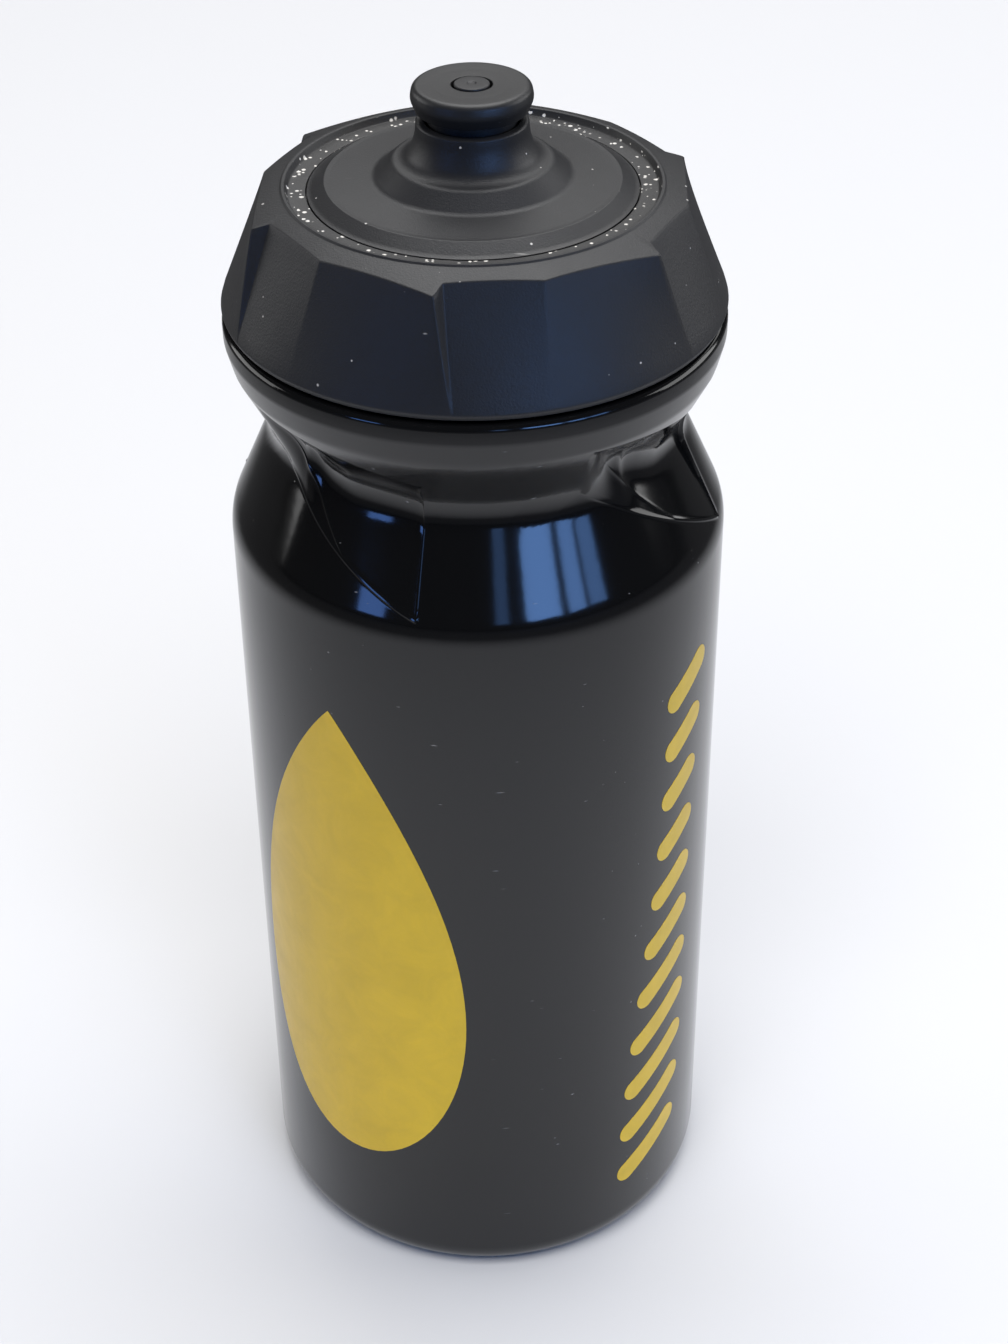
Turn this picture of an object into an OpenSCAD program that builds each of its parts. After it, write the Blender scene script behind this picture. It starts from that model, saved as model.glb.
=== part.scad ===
// Sports squeeze bottle with a screw cap and a push-pull mouthpiece.
// Z points up, the bottle stands on z = 0 and its axis is the Z axis.
// Azimuth is counter-clockwise from above; the front of the bottle faces -Y (270 degrees).

/* [Bottle] */
// Outside diameter of the straight body, which sits in a bottle cage
body_d = 74; // [70:0.5:80]
// Height of the straight body, up to where the shoulder's cone would meet it
body_h = 131.9; // [100:0.5:200]
// Wall thickness of the blow-moulded bottle
bottle_wall = 1.2; // [0.8:0.1:2]
// Radius of the fillet round the base
base_fillet = 6; // [3:0.5:10]
// How far the middle of the base is pushed up
base_push_up = 3.2; // [1:0.1:6]
// Radius of the waist between shoulder and rim, before it is rounded
waist_r = 29.85; // [28.5:0.05:31]
// Height of the shoulder, from the body's top to the waist
shoulder_h = 15.9; // [14:0.1:18]
// Height from the waist to the rim's underside
flare_h = 10.3; // [9:0.1:12]
// Height of the rolled rim that the cap sits over
rim_h = 6.5; // [5.5:0.1:8]
// Outside radius of the rolled rim
rim_r = 36.05; // [35:0.05:38]

/* [Shoulder grooves] */
// Number of swirled finger grooves
groove_count = 4; // [2:1:5]
// Azimuth of the first groove's upright end wall
groove_end_az = 256; // [0:1:360]
// Angle that one groove spans
groove_span = 57; // [40:1:60]
// Radius of the groove's round section
groove_r = 11.2; // [9:0.1:12]

/* [Neck and thread] */
// Outside radius of the neck, at the root of its thread
neck_r = 27.4; // [26:0.1:28]
// Wall thickness of the neck
neck_wall = 1.5; // [1:0.1:2.5]
// Height of the neck above the rim
neck_h = 12.2; // [11.5:0.1:13]
// Rise of the thread in one turn
thread_lead = 6; // [5:0.25:7]
// Height of the neck's thread above the rim
thread_start_h = 3.2; // [3:0.1:3.6]
// How far below the neck's top its thread ends
thread_end_h = 1.8; // [1.5:0.1:2.5]
// How far each thread stands out of its wall
thread_depth = 1.5; // [1:0.1:1.8]
// Gap between each thread's crest and the wall facing it
thread_gap = 0.6; // [0.4:0.05:0.8]
// Width of a thread at its root
thread_root_w = 2.4; // [2:0.1:2.8]
// Width of a thread at its crest
thread_crest_w = 1.2; // [0.8:0.1:1.6]
// Gap between the two threads' flanks when the cap is closed
thread_play = 0.2; // [0.1:0.05:0.5]

/* [Cap] */
// Gap between the rim and the cap's lower edge
cap_gap = 0.65; // [0.4:0.05:1]
// Largest radius of the cap, near its lower edge
cap_r = 36.05; // [35:0.05:38]
// Height of the cap's skirt, up to the land's inner edge
cap_h = 17.8; // [17:0.1:20]
// Number of grip teeth round the cap
tooth_count = 6; // [4:1:8]
// Azimuth of the first tooth's tip
tooth_az = 260; // [0:1:360]
// Radius of the top edge at a tooth's tip
tooth_tip_r = 32; // [31:0.1:33]
// Radius of the top edge at a tooth's foot
tooth_foot_r = 29.6; // [29.2:0.1:31]
// Inner radius of the sloping land
land_r = 26.3; // [25:0.1:27]
// Depth of the dust groove inside the land
dust_groove_depth = 0.9; // [0.5:0.1:1.4]
// Thickness of the cap's plate under the spout
plate_t = 1.9; // [1.5:0.1:2.5]
// Thickness of the flat gasket
gasket_t = 1.5; // [1:0.1:2]

/* [Spout] */
// Radius of the spout's disc at the foot of its sloping edge
disc_r = 23; // [22.4:0.1:24]
// Width of the disc's sloping edge
disc_slope_w = 2.4; // [1:0.1:2.6]
// Thickness of the disc above its seat
disc_edge_t = 2.4; // [1.8:0.1:3]
// Height of the collar above the disc's seat
collar_h = 10.8; // [10.5:0.1:14]
// Radius of the collar's bore, in which the mouthpiece slides
bore_r = 6.95; // [6.5:0.05:7.5]
// Thickness of the collar's wall at its top rim
collar_wall = 0.8; // [0.6:0.05:1.2]
// Thickness of the retaining lip at the top of the bore
lip_h = 1.2; // [0.8:0.1:1.6]
// Radial clearance of the sliding mouthpiece
slide_gap = 0.1; // [0.08:0.02:0.16]

/* [Mouthpiece] */
// Radius of the mouthpiece's head
head_r = 8.5; // [8:0.05:10]
// Height of the mouthpiece's head
head_h = 3.6; // [3.2:0.05:5]
// Gap between the collar and the closed head
head_gap = 1.45; // [0.6:0.05:2]
// How far the piston stands out round the sleeve
piston_step = 0.75; // [0.6:0.05:1]
// Thickness of the sleeve's wall, outside the water passage
sleeve_wall = 1.6; // [1.4:0.05:1.9]
// Radius of the drinking hole
drink_hole_r = 2.84; // [2.4:0.02:3.2]
// How far the mouthpiece pulls out
pull = 5.5; // [4:0.1:6]
// Gap round the plug's tip in the drinking hole
tip_gap = 0.39; // [0.2:0.01:0.6]
// Width of the ring of water that passes round the plug
water_gap = 1; // [0.6:0.1:1.4]

/* [Hidden] */
$fn = 96;

shadow_black = [0.07, 0.07, 0.075];
cap_black = [0.12, 0.12, 0.13];
seal_grey = [0.25, 0.25, 0.26];

// Heights, from the base up
body_r = body_d / 2;
waist_z = body_h + shoulder_h;
rim_z = waist_z + flare_h;
ledge_z = rim_z + rim_h;
neck_top_z = ledge_z + neck_h;
cap_z = ledge_z + cap_gap;
land_z = cap_z + cap_h;
land_slope = 0.31;
dust_floor_z = land_z - dust_groove_depth;
seat_z = dust_floor_z - 0.9;
plate_z = seat_z - plate_t;
collar_z = seat_z + collar_h;
head_z = collar_z + head_gap;
head_top_z = head_z + head_h;

// Fits
seal_touch = 0.05;
gasket_top_z = neck_top_z + seal_touch + gasket_t;
channel_z = gasket_top_z + seal_touch;
thread_bore_r = neck_r + thread_depth + thread_gap;
neck_thread_z = ledge_z + thread_start_h;
thread_turns = (neck_h - thread_start_h - thread_end_h) / thread_lead;
cap_thread_z = cap_z + 1.6;
// Distance along the axis at which the two ridges' flanks would touch
flank_touch = (thread_root_w + thread_crest_w) / 2
              - (thread_root_w - thread_crest_w) / 2 * thread_gap / thread_depth;
// Turn that brings the cap's ridge just under the neck's
cap_thread_az = (flank_touch + thread_play - (neck_thread_z - cap_thread_z)) * 360 / thread_lead;
channel_r = thread_bore_r - 0.7;
plug_lip_r = neck_r - neck_wall - 1.2;
plug_lip_t = 1.1;
insert_gap = 0.2;
insert_hole_r = disc_r - 5.5;
seal_seat_r = disc_r - 4;
seal_seat_w = 0.7;
collar_r = bore_r + collar_wall;
sleeve_r = bore_r - piston_step;
passage_r = sleeve_r - sleeve_wall;
ring_r = bore_r + 1.1;
ring_z = seat_z + 0.6;
ring_t = 2.4;
lip_r = sleeve_r + 0.4;
piston_h = 2.6;
piston_top_z = collar_z - lip_h - pull - 0.3;

// One arc in place of the corner at b, on the way from a to c; b[2] is its radius
function corner_arc(a, b, c, steps = 7) =
    let (u = (a2(a) - a2(b)) / norm(a2(a) - a2(b)), v = (a2(c) - a2(b)) / norm(a2(c) - a2(b)),
         half = acos(max(-1, min(1, u * v))) / 2, reach = b[2] / tan(half),
         centre = a2(b) + (u + v) / norm(u + v) * b[2] / sin(half),
         from = a2(b) + u * reach - centre, to = a2(b) + v * reach - centre,
         start = atan2(from[1], from[0]), turn = ((atan2(to[1], to[0]) - start + 540) % 360) - 180)
    [for (i = [0:steps]) centre + b[2] * [cos(start + turn * i / steps), sin(start + turn * i / steps)]];
function a2(p) = [p[0], p[1]];

// An outline whose corners [r, z, radius] are rounded where a radius is given
function rounded(path) =
    [for (i = [0:len(path) - 1])
        let (p = path[i])
        each (len(p) > 2 ? corner_arc(path[(i + len(path) - 1) % len(path)], p, path[(i + 1) % len(path)])
                         : [p])];

// A closed skin over rings of points that all have the same count
module skin(rings) {
    n = len(rings[0]);
    m = len(rings);
    sides = [for (j = [0:m - 2], i = [0:n - 1])
        let (k = (i + 1) % n, a = j * n + i, b = j * n + k, c = a + n, d = b + n)
        each [[a, d, b], [a, c, d]]];
    first_end = [for (i = [0:n - 1]) i];
    last_end = [for (i = [n - 1:-1:0]) (m - 1) * n + i];
    polyhedron([for (ring = rings) each ring], concat([first_end], sides, [last_end]), convexity = 6);
}

// A right-hand screw ridge from wall_r to crest_r, sunk into its wall and run out at both ends
module thread_ridge(wall_r, crest_r, z) {
    step = 12;
    run_out = 36;
    last = round(thread_turns * 360 / step);
    sink = crest_r > wall_r ? -0.5 : 0.5;
    up = crest_r > wall_r ? -1 : 1;
    rings = [for (i = [0:last])
        let (a = i * step, from_end = min(a, last * step - a), grown = min(1, from_end / run_out),
             crest = wall_r + sink * 0.4 * (1 - grown) + (crest_r - wall_r) * grown,
             outline = [[wall_r + sink, -thread_root_w / 2], [crest, -thread_crest_w / 2],
                        [crest, thread_crest_w / 2], [wall_r + sink, thread_root_w / 2]])
        [for (p = outline) [p[0] * cos(a), p[0] * sin(a), z + thread_lead * a / 360 + up * p[1]]]];
    skin(rings);
}

// ---------------------------------------------------------------- bottle
bottle_outside = rounded([
    [0, base_push_up], [22, base_push_up, 4], [26.5, 0, 1.2], [body_r, 0, base_fillet],
    [body_r, body_h, 10], [waist_r, waist_z, 6], [rim_r - 0.9, rim_z, 0.7], [rim_r, rim_z + 3.5, 3],
    [rim_r, ledge_z, 1], [neck_r, ledge_z, 0.5], [neck_r, neck_top_z, 0.4],
    [neck_r - neck_wall, neck_top_z, 0.4], [neck_r - neck_wall, neck_top_z - 3], [0, neck_top_z - 3]]);

// The grooves are deepest by the shoulder, so the inside keeps clear of them
groove_room = 3.4;
bottle_inside = rounded([
    [0, base_push_up + bottle_wall], [21, base_push_up + bottle_wall, 3],
    [25.5, bottle_wall, 1.5], [body_r - bottle_wall, bottle_wall, base_fillet - bottle_wall],
    [body_r - bottle_wall, body_h - 1.5, 3], [waist_r + 1.5 - bottle_wall, body_h + shoulder_h * 0.38, 5],
    [waist_r - groove_room + 0.6, waist_z - 1.5, 5], [rim_r - 1.6 - bottle_wall, ledge_z - bottle_wall - 2, 2],
    [rim_r - 1.6 - bottle_wall, ledge_z - bottle_wall, 0.8], [neck_r - neck_wall, ledge_z - bottle_wall, 0.8],
    [neck_r - neck_wall, neck_top_z + 1], [0, neck_top_z + 1]]);

// A wedge of the angles from low to high, taller than the shoulder
module wedge(low, high) {
    reach = 2 * body_r;
    turns = [for (i = [0:4]) low + (high - low) * i / 4];
    translate([0, 0, body_h - 10])
        linear_extrude(shoulder_h + flare_h + 9.3)
            polygon(concat([[0, 0]], [for (a = turns) reach * [cos(a), sin(a)]]));
}

// A swirled groove: a leaning ring of round section that stops at an upright wall
module groove() {
    middle = -groove_span / 2 + 0.5;
    intersection() {
        wedge(-groove_span, 0);
        rotate([0, 0, middle])
            translate([waist_r - 25.17, -3.2, waist_z - 15.66])
                rotate([-6, 0, 0])
                    rotate([0, -24.2, 0])
                        rotate_extrude()
                            translate([waist_r + 10.36, 0])
                                circle(groove_r);
    }
}

module bottle_body() {
    color(shadow_black)
    difference() {
        union() {
            difference() {
                rotate_extrude() polygon(bottle_outside);
                for (i = [0:groove_count - 1])
                    rotate([0, 0, groove_end_az + i * 360 / groove_count])
                        groove();
            }
            thread_ridge(neck_r, neck_r + thread_depth, neck_thread_z);
        }
        rotate_extrude() polygon(bottle_inside);
    }
}

// ---------------------------------------------------------------- cap
module cap_gasket() {
    color(seal_grey)
    translate([0, 0, neck_top_z + seal_touch])
        difference() {
            cylinder(h = gasket_t, r = channel_r - 0.2);
            translate([0, 0, -1]) cylinder(h = gasket_t + 2, r = plug_lip_r + 0.2);
        }
}

// Angles, counted from a tooth's tip, of its foot and of the bend in its long face
foot_turn = 2;
bend_turn = 27.5 * 6 / tooth_count;
tooth_turn = 360 / tooth_count;
bend_r = tooth_foot_r + 0.45;
skirt_bottom_z = cap_z + 0.8;
edge_z = land_z - land_slope * 4;

// Radius at turn t on the straight chord between two points given as [turn, radius]
function chord(p, q, t) = p[1] * q[1] * sin(q[0] - p[0]) / (p[1] * sin(t - p[0]) + q[1] * sin(q[0] - t));
function top_edge_r(t) =
    t <= foot_turn ? tooth_tip_r + (tooth_foot_r - tooth_tip_r) * t / foot_turn
    : t <= bend_turn ? chord([foot_turn, tooth_foot_r], [bend_turn, bend_r], t)
    : chord([bend_turn, bend_r], [tooth_turn, tooth_tip_r], t);
tooth_stations = concat([0], [for (i = [0:5]) foot_turn + (bend_turn - foot_turn) * i / 5],
                        [for (i = [1:5]) bend_turn + (tooth_turn - bend_turn) * i / 6]);
// The skirt's lines lean as they run down
function lean(t) = lookup(t, [[0, 4.5], [foot_turn, 3], [bend_turn, -2], [tooth_turn, 4.5]]);

function skirt_ring(z) =
    let (down = (edge_z - z) / (edge_z - skirt_bottom_z), low = z < skirt_bottom_z)
    [for (k = [0:tooth_count - 1], t = tooth_stations)
        let (a = tooth_az + k * tooth_turn + t + lean(t) * min(1, down),
             r = low ? cap_r - 0.45 : cap_r + (top_edge_r(t) - cap_r) * (1 - down))
        [r * cos(a), r * sin(a), z]];

cap_top = [[0, cap_z - 1], [cap_r + 3, cap_z - 1], [cap_r + 3, land_z - land_slope * (cap_r + 3 - land_r)],
           [land_r + 0.4, land_z - land_slope * 0.4], [land_r + 0.25, land_z + 0.15],
           [land_r - 0.25, land_z + 0.15], [land_r - 0.5, dust_floor_z],
           [disc_r + insert_gap, dust_floor_z], [disc_r + insert_gap, seat_z],
           [seal_seat_r + seal_seat_w, seat_z], [seal_seat_r + seal_seat_w, seat_z - 1.25],
           [seal_seat_r - seal_seat_w, seat_z - 1.25], [seal_seat_r - seal_seat_w, seat_z], [0, seat_z]];
cap_inside = [[0, cap_z - 1], [thread_bore_r + 0.6, cap_z - 1], [thread_bore_r + 0.6, cap_z],
              [thread_bore_r, cap_z + 0.6], [thread_bore_r, channel_z - 2.6], [channel_r, channel_z - 1.6],
              [channel_r, channel_z], [plug_lip_r, channel_z], [plug_lip_r, channel_z - 2.8],
              [plug_lip_r - 0.4, channel_z - 3.2], [plug_lip_r - plug_lip_t, channel_z - 3.2],
              [plug_lip_r - plug_lip_t, plate_z], [0, plate_z]];
// Hollow between the threaded ring and the outer skirt
skirt_hollow = [[thread_bore_r + 1.6, cap_z - 1], [cap_r - 1.9, cap_z - 1], [cap_r - 1.9, cap_z + 0.5],
                [thread_bore_r + 1.6, cap_z + 7.2]];

module cap_shell() {
    rib_count = 12;
    rib_turn = 2.5;
    color(cap_black)
    difference() {
        union() {
            difference() {
                intersection() {
                    skin([for (z = [cap_z, skirt_bottom_z, land_z + 1]) skirt_ring(z)]);
                    rotate_extrude() polygon(cap_top);
                }
                rotate_extrude() polygon(cap_inside);
            }
            rotate([0, 0, cap_thread_az])
                thread_ridge(thread_bore_r, thread_bore_r - thread_depth, cap_thread_z);
        }
        for (i = [0:rib_count - 1])
            rotate([0, 0, i * 360 / rib_count])
                rotate_extrude(angle = 360 / rib_count - rib_turn) polygon(skirt_hollow);
        translate([0, 0, plate_z - 1]) cylinder(h = land_z - plate_z + 2, r = insert_hole_r);
    }
}

// ---------------------------------------------------------------- spout
module insert_seal() {
    color(seal_grey)
    translate([0, 0, seat_z - 0.6])
        rotate_extrude() translate([seal_seat_r, 0]) circle(0.55);
}

disc_top_z = seat_z + disc_edge_t;
disc_top_r = disc_r - disc_slope_w;
spout_outline = rounded([
    [ring_r + 0.1, plate_z], [ring_r + 2, plate_z], [ring_r + 2, seat_z + 1],
    [insert_hole_r - 1.7, seat_z + 1], [insert_hole_r - 1.7, plate_z - 1.6],
    [insert_hole_r + 0.35, plate_z - 1.1], [insert_hole_r + 0.35, plate_z - 0.1],
    [insert_hole_r - insert_gap, plate_z - 0.1], [insert_hole_r - insert_gap, seat_z],
    [disc_r, seat_z], [disc_r, dust_floor_z + 0.05], [disc_r - 0.6, dust_floor_z + 0.2, 1.2],
    [disc_top_r, disc_top_z, 0.3], [collar_r + 7, disc_top_z + 0.55, 3],
    [collar_r + 3.8, disc_top_z + 2.35, 1.6], [collar_r + 1.55, disc_top_z + 2.95, 3],
    [collar_r + 0.2, collar_z - 2.55, 8], [collar_r, collar_z, 0.35],
    [lip_r, collar_z], [lip_r, collar_z - lip_h], [bore_r, collar_z - lip_h], [bore_r, ring_z],
    [ring_r + 0.1, ring_z]]);

module spout_insert() {
    color(cap_black)
    rotate_extrude() polygon(spout_outline);
}

plug_seat_z = head_top_z - 1.4;
plug_r = passage_r - water_gap;
plug_stem_r = plug_r - 0.7;
plug_tip_r = drink_hole_r - tip_gap;
plug_outline = [[0, ring_z - ring_t], [plug_stem_r - 0.3, ring_z - ring_t], [plug_stem_r - 0.3, ring_z],
                [plug_stem_r, ring_z + 1], [plug_stem_r, plug_seat_z - 2.6], [plug_r, plug_seat_z - 1.8],
                [plug_r, plug_seat_z - 1], [plug_tip_r, plug_seat_z - 0.3], [plug_tip_r, head_top_z - 0.2],
                [plug_tip_r - 0.2, head_top_z], [0.6, head_top_z], [0, head_top_z - 0.15]];

module centre_plug() {
    spoke_count = 3;
    spoke_w = 1.6;
    color(cap_black)
    union() {
        rotate_extrude() polygon(plug_outline);
        translate([0, 0, ring_z - ring_t])
            difference() {
                cylinder(h = ring_t - seal_touch, r = ring_r);
                translate([0, 0, -1]) cylinder(h = ring_t + 2, r = ring_r - 1.6);
            }
        for (i = [0:spoke_count - 1])
            rotate([0, 0, 90 + i * 360 / spoke_count])
                translate([2, -spoke_w / 2, ring_z - ring_t])
                    cube([ring_r - 2.8, spoke_w, ring_t - 0.6]);
    }
}

// ---------------------------------------------------------------- mouthpiece
o_ring_r = 0.65;
o_ring_centre_r = bore_r - o_ring_r - seal_touch;
o_ring_z = piston_top_z - piston_h / 2;

module mouthpiece_seal() {
    color(seal_grey)
    translate([0, 0, o_ring_z])
        rotate_extrude() translate([o_ring_centre_r, 0]) circle(o_ring_r);
}

core_flange_r = head_r - 1.1;
core_flange_z = head_z + 0.6;
cover_floor_z = head_top_z - 1.3;
core_outline = [[passage_r, piston_top_z - piston_h], [bore_r - slide_gap, piston_top_z - piston_h],
                [bore_r - slide_gap, o_ring_z - o_ring_r - 0.05],
                [o_ring_centre_r - o_ring_r - 0.05, o_ring_z - o_ring_r - 0.05],
                [o_ring_centre_r - o_ring_r - 0.05, o_ring_z + o_ring_r + 0.05],
                [bore_r - slide_gap, o_ring_z + o_ring_r + 0.05], [bore_r - slide_gap, piston_top_z],
                [sleeve_r, piston_top_z], [sleeve_r, core_flange_z],
                [core_flange_r, core_flange_z], [core_flange_r, cover_floor_z], [passage_r, cover_floor_z]];

module mouthpiece_core() {
    color(cap_black)
    rotate_extrude() polygon(core_outline);
}

cover_outline = rounded([
    [drink_hole_r, cover_floor_z], [core_flange_r, cover_floor_z], [core_flange_r, core_flange_z],
    [sleeve_r, core_flange_z], [sleeve_r, head_z], [head_r - 0.7, head_z, 0.3],
    [head_r + 0.05, head_z + 1.7, 1.8], [head_r - 0.35, head_top_z, 1.1], [drink_hole_r, head_top_z - 0.15]]);

module mouthpiece_cover() {
    color(shadow_black)
    rotate_extrude() polygon(cover_outline);
}

bottle_body();
cap_gasket();
cap_shell();
insert_seal();
spout_insert();
centre_plug();
mouthpiece_seal();
mouthpiece_core();
mouthpiece_cover();
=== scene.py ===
"""A black sports squeeze bottle: swirled shoulder, toothed screw cap and push-pull mouthpiece.

Outlines are written in millimetres, as pairs of a radius and a height, and go round the Z axis.
Angles are in degrees, counter-clockwise from above; the front of the bottle faces 270 degrees.
"""

import math
from types import SimpleNamespace

import bmesh
import bpy
from bpy.props import FloatProperty, FloatVectorProperty, IntProperty, PointerProperty
from mathutils import Matrix, Vector


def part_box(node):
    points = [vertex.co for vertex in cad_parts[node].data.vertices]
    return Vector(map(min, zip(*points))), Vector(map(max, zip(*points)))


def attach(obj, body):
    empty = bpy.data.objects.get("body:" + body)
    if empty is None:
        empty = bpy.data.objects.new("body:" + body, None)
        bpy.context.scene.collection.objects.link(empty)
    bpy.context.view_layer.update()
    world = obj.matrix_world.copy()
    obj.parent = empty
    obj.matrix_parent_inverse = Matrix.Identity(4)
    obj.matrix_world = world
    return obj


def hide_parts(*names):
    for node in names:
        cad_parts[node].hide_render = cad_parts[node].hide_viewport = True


bl_info = {
    "name": "Squeeze Bottle",
    "version": (1, 0, 0),
    "blender": (4, 5, 0),
    "location": "View3D > Sidebar > Bottle",
    "description": "Builds a sports squeeze bottle round its CAD frame, with its finishes and a studio",
    "category": "Object",
}

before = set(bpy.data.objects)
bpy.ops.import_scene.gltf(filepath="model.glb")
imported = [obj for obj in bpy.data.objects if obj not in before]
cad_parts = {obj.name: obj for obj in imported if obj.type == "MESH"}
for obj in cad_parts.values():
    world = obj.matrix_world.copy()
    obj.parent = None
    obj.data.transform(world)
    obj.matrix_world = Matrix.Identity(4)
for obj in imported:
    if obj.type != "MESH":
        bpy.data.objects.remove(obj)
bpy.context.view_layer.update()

MM = 0.001
bottle_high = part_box("bottle_body")[1]
cap_low, cap_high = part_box("cap_shell")
spout_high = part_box("spout_insert")[1]
gasket_low, gasket_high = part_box("cap_gasket")
plug_low, plug_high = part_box("centre_plug")
core_low, core_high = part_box("mouthpiece_core")
head_low, head_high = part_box("mouthpiece_cover")

# Sizes in millimetres that more than one piece uses
THREAD_START = 3.2
BELOW_SHOULDER = 5
RIM_START = 1.4
PLATE_THICKNESS = 1.9
PLATE_HOLE_INSET = 5.5
BEAD_HEIGHT = 0.15

# The window's panes: direction in degrees, width in metres and power in watts
WINDOW_PANES = ((-80.5, 0.19, 0.6), (-62.3, 0.53, 7.5), (-47.2, 0.27, 3.2), (-37.5, 0.27, 2.1))
WINDOW_DISTANCE = 1.94


# ------------------------------------------------------------------ sizes and colours
def length(name, description, default, low=0.0):
    """A length property in metres."""
    return FloatProperty(name=name, description=description, default=default, min=low,
                         unit="LENGTH", subtype="DISTANCE", precision=5)


def angle(name, description, degrees):
    """An angle property."""
    return FloatProperty(name=name, description=description, default=math.radians(degrees),
                         subtype="ANGLE", unit="ROTATION")


def share(name, description, default):
    """A property from 0 to 1."""
    return FloatProperty(name=name, description=description, default=default,
                         min=0.0, max=1.0, subtype="FACTOR")


def colour(name, description, default):
    """A linear colour property."""
    return FloatVectorProperty(name=name, description=description, default=default, size=3,
                               min=0.0, max=1.0, subtype="COLOR")


class BottleSizes(bpy.types.PropertyGroup):
    """Sizes of the blow-moulded bottle."""
    body_radius: length("Body Radius", "Radius of the straight body", bottle_high.x)
    body_top: length("Body Top", "Height at which the body's side would meet the shoulder", 0.1319)
    wall: length("Wall", "Thickness of the wall", 0.0012)
    base_fillet: length("Base Fillet", "Radius of the rounding round the base", 0.006)
    push_up: length("Push Up", "How far the middle of the base is raised", 0.0032)
    waist_radius: length("Waist Radius", "Radius of the waist before it is rounded", 0.02985)
    waist_height: length("Waist Height", "Height of the waist", 0.1478)
    rim_radius: length("Rim Radius", "Radius of the rolled rim", 0.03605)
    rim_underside: length("Rim Underside", "Height of the rim's underside", 0.1581)
    ledge: length("Ledge", "Height of the ledge inside the rim", 0.1646)
    neck_radius: length("Neck Radius", "Radius of the neck at the thread's root", 0.0274)
    neck_wall: length("Neck Wall", "Thickness of the neck's wall", 0.0015)
    neck_top: length("Neck Top", "Height of the neck's mouth", bottle_high.z)
    groove_count: IntProperty(name="Grooves", description="Number of swirled grooves", default=4, min=1)
    groove_end: angle("Groove End", "Direction of the first groove's upright wall", 256)
    groove_span: angle("Groove Span", "Angle that a groove spans", 49)
    crease_bead: length("Crease Bead", "Height of the fine bead along a groove's creases", 0.0001)
    thread_lead: length("Thread Lead", "Rise of the thread in one turn", 0.006)
    thread_depth: length("Thread Depth", "How far a thread stands out of its wall", 0.0015)
    thread_turns: FloatProperty(name="Thread Turns", description="Turns of thread", default=1.2, min=0.5)


class CapSizes(bpy.types.PropertyGroup):
    """Sizes of the screw cap."""
    bottom: length("Bottom", "Height of the cap's lower edge", cap_low.z)
    radius: length("Radius", "Largest radius, near the lower edge", 0.03605)
    land_height: length("Land Height", "Height of the land's inner edge", cap_high.z - BEAD_HEIGHT * MM)
    land_radius: length("Land Radius", "Inner radius of the sloping land", 0.0263)
    teeth: IntProperty(name="Teeth", description="Number of grip teeth", default=6, min=3)
    first_tooth: angle("First Tooth", "Direction of the first tooth's tip", 260)
    tip_radius: length("Tip Radius", "Radius of the top edge at a tooth's tip", 0.032)
    foot_radius: length("Foot Radius", "Radius of the top edge at a tooth's foot", 0.0296)
    edge_round: length("Edge Round", "Rounding of the top edge", 0.00045)
    dust_groove: length("Dust Groove", "Depth of the groove inside the land", 0.0009)
    thread_bore: length("Thread Bore", "Radius of the wall that carries the thread", 0.0295)
    thread_start: angle("Thread Start", "Direction in which the cap's thread starts", 48.6)


class SpoutSizes(bpy.types.PropertyGroup):
    """Sizes of the spout and the mouthpiece."""
    disc_radius: length("Disc Radius", "Radius of the disc at the foot of its sloping edge", spout_high.x)
    disc_slope: length("Disc Slope", "Width of the disc's sloping edge", 0.0024)
    disc_top: length("Disc Top", "Height of the disc's edge", 0.18365)
    collar_radius: length("Collar Radius", "Radius of the collar's top rim", 0.00775)
    collar_top: length("Collar Top", "Height of the collar's top rim", spout_high.z)
    bore_radius: length("Bore Radius", "Radius of the bore that the mouthpiece slides in", 0.00695)
    sleeve_radius: length("Sleeve Radius", "Radius of the mouthpiece's sleeve", 0.0062)
    head_radius: length("Head Radius", "Radius of the mouthpiece's head", head_high.x)
    head_bottom: length("Head Bottom", "Height of the closed head's lower edge", head_low.z)
    head_top: length("Head Top", "Height of the closed head's face", head_high.z)
    hole_radius: length("Hole Radius", "Radius of the drinking hole", 0.00284)
    tip_radius: length("Tip Radius", "Radius of the plug's tip", 0.00245)


class PrintSizes(bpy.types.PropertyGroup):
    """Sizes of the printed marks."""
    ink: length("Ink", "Thickness of the ink", 0.00004)
    drop_direction: angle("Drop Direction", "Direction that the drop faces", 233)
    drop_width: length("Drop Width", "Width of the drop", 0.040)
    drop_bottom: length("Drop Bottom", "Height of the drop's lowest point", 0.024)
    drop_top: length("Drop Top", "Height of the drop's tip", 0.114)
    dash_direction: angle("Dash Direction", "Direction of the column of dashes", 322)
    dash_lean: angle("Dash Lean", "Slant of each dash", 28)
    dash_length: length("Dash Length", "Length of the longest dash", 0.0165)
    dash_width: length("Dash Width", "Width of a dash", 0.0042)
    dash_count: IntProperty(name="Dashes", description="Number of dashes", default=11, min=1)


class Finishes(bpy.types.PropertyGroup):
    """Colours and gloss."""
    bottle: colour("Bottle", "Colour of the bottle's plastic", (0.0035, 0.0035, 0.0036))
    bottle_roughness: share("Bottle Roughness", "Roughness of the bottle", 0.1)
    cap: colour("Cap", "Colour of the cap's plastic", (0.0105, 0.0105, 0.0115))
    cap_roughness: share("Cap Roughness", "Roughness of the cap", 0.5)
    soft: colour("Mouthpiece", "Colour of the soft mouthpiece", (0.011, 0.011, 0.0115))
    seal: colour("Seals", "Colour of the seals", (0.09, 0.09, 0.095))
    ink: colour("Ink", "Colour of the print", (0.66, 0.43, 0.01))
    dust: colour("Dust", "Colour of dust and lint", (0.55, 0.53, 0.5))


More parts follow.
